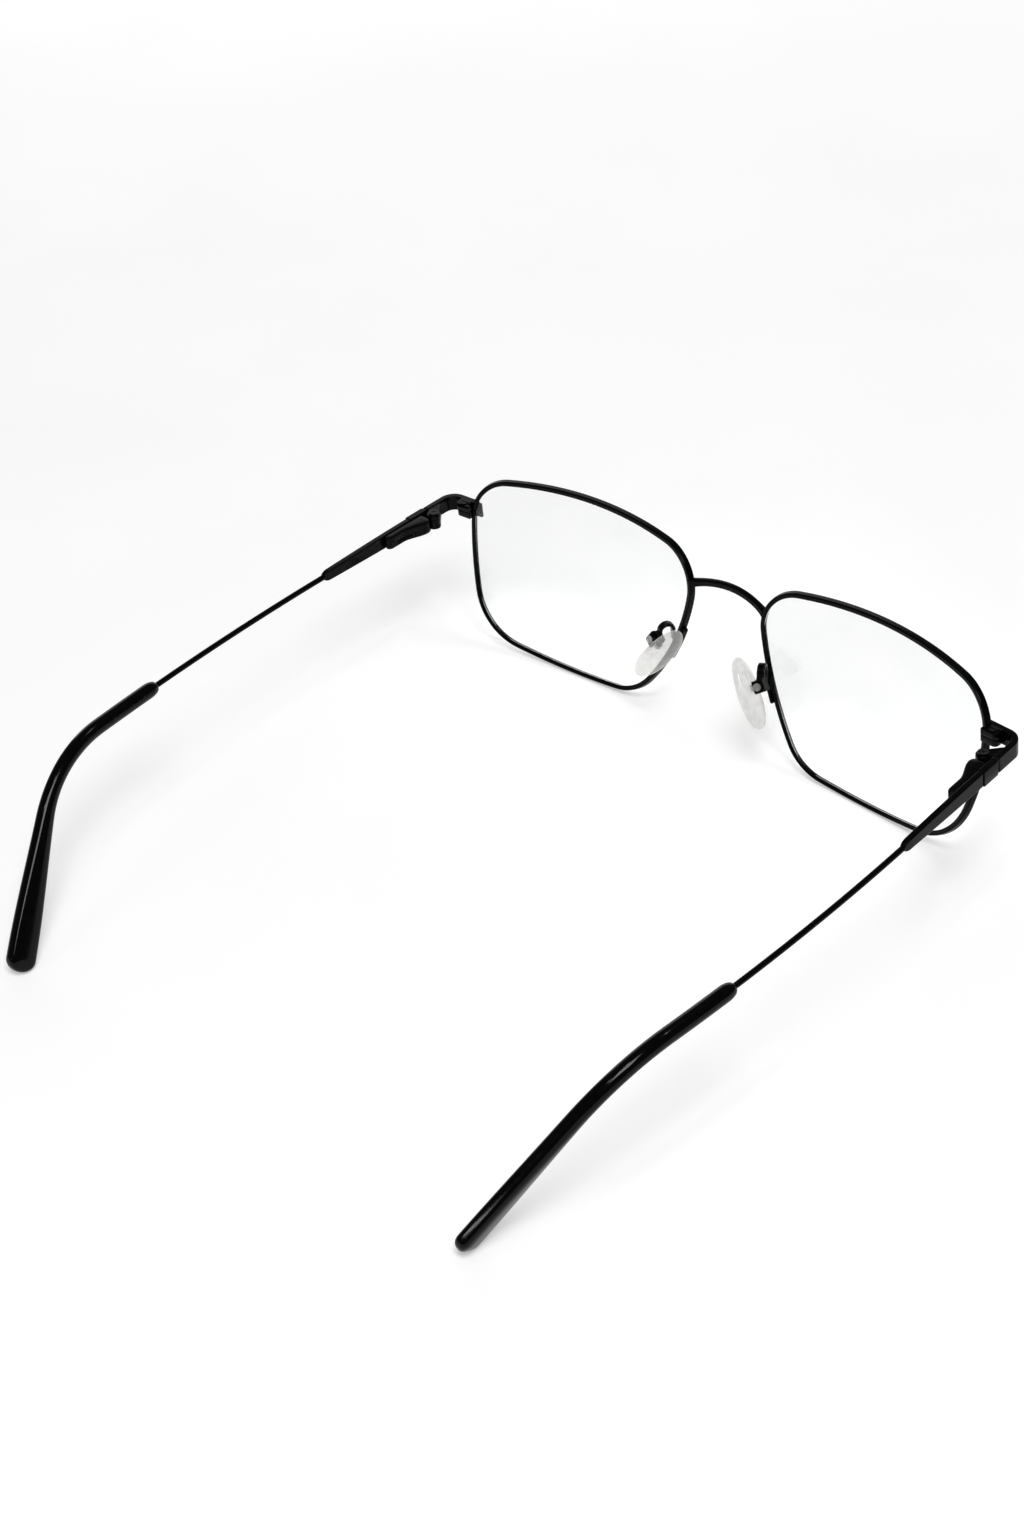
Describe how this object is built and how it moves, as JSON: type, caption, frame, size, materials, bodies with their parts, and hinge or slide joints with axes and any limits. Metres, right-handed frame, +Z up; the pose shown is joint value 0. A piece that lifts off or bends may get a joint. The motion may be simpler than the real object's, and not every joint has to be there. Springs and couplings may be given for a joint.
{
  "type": "full-rim metal eyeglass frame with spring-hinged temples",
  "caption": "Rectangular full-rim metal eyeglass frame with clear lenses, adjustable nose pads, spring hinges and slim temples with ear tips.",
  "frame": {"origin": "on the resting surface, below the middle of the box of the open frame", "axes": "+X towards the wearer's left, front faces -Y, temples run towards +Y, +Z up"},
  "size_m": [0.1512, 0.1464, 0.0385],
  "materials": {
    "frame_paint": "gloss black lacquer",
    "tip_acetate": "polished black",
    "lens": "clear polished",
    "dark_screw": "blackened",
    "steel": "plain turned steel",
    "pad_insert": "clear moulded",
    "pad_silicone": "clear soft silicone"
  },
  "bodies": {
    "front": {"bridge": "frame_paint", "left_eyewire": "frame_paint", "left_lens": "lens", "left_block_upper": "frame_paint", "left_block_lower": "frame_paint", "left_closing_screw": "dark_screw", "left_end_piece": "frame_paint", "left_hinge_leaf": "frame_paint", "left_hinge_screw": "dark_screw", "left_pad_arm": "frame_paint", "left_pad_box": "frame_paint", "left_pad_screw": "steel", "right_eyewire": "frame_paint", "right_lens": "lens", "right_block_upper": "frame_paint", "right_block_lower": "frame_paint", "right_closing_screw": "dark_screw", "right_end_piece": "frame_paint", "right_hinge_leaf": "frame_paint", "right_hinge_screw": "dark_screw", "right_pad_arm": "frame_paint", "right_pad_box": "frame_paint", "right_pad_screw": "steel"},
    "left_spring_arm": {"left_slider": "steel", "left_spring": "steel"},
    "left_temple": {"left_spring_box": "frame_paint", "left_temple_bar": "frame_paint", "left_temple_wire": "frame_paint", "left_temple_tip": "tip_acetate"},
    "left_pad": {"left_pad_core": "pad_insert", "left_nose_pad": "pad_silicone"},
    "right_spring_arm": {"right_slider": "steel", "right_spring": "steel"},
    "right_temple": {"right_spring_box": "frame_paint", "right_temple_bar": "frame_paint", "right_temple_wire": "frame_paint", "right_temple_tip": "tip_acetate"},
    "right_pad": {"right_pad_core": "pad_insert", "right_nose_pad": "pad_silicone"}
  },
  "joints": [
    {"name": "left_fold", "type": "hinge", "parent": "front", "child": "left_spring_arm", "pos_m": [0.0704, -0.05761, 0.02899], "axis": [-0.0033, -0.0871, 0.9962], "range_deg": [0, 85]},
    {"name": "left_slide", "type": "slide", "parent": "left_spring_arm", "child": "left_temple", "axis": [0.0384, 0.9993, 0], "range_m": [0, 0.00064], "stiffness_N_per_m": 1500},
    {"name": "left_pad_rock", "type": "hinge", "parent": "front", "child": "left_pad", "pos_m": [0.01358, -0.06199, 0.01917], "axis": [0.2383, 0.8895, 0.3899], "range_deg": [-8, 8]},
    {"name": "right_fold", "type": "hinge", "parent": "front", "child": "right_spring_arm", "pos_m": [-0.0704, -0.05761, 0.02899], "axis": [-0.0033, 0.0871, -0.9962], "range_deg": [0, 76]},
    {"name": "right_slide", "type": "slide", "parent": "right_spring_arm", "child": "right_temple", "axis": [-0.0384, 0.9993, 0], "range_m": [0, 0.00064], "stiffness_N_per_m": 1500},
    {"name": "right_pad_rock", "type": "hinge", "parent": "front", "child": "right_pad", "pos_m": [-0.01358, -0.06199, 0.01917], "axis": [-0.2383, 0.8895, 0.3899], "range_deg": [-8, 8]}
  ]
}
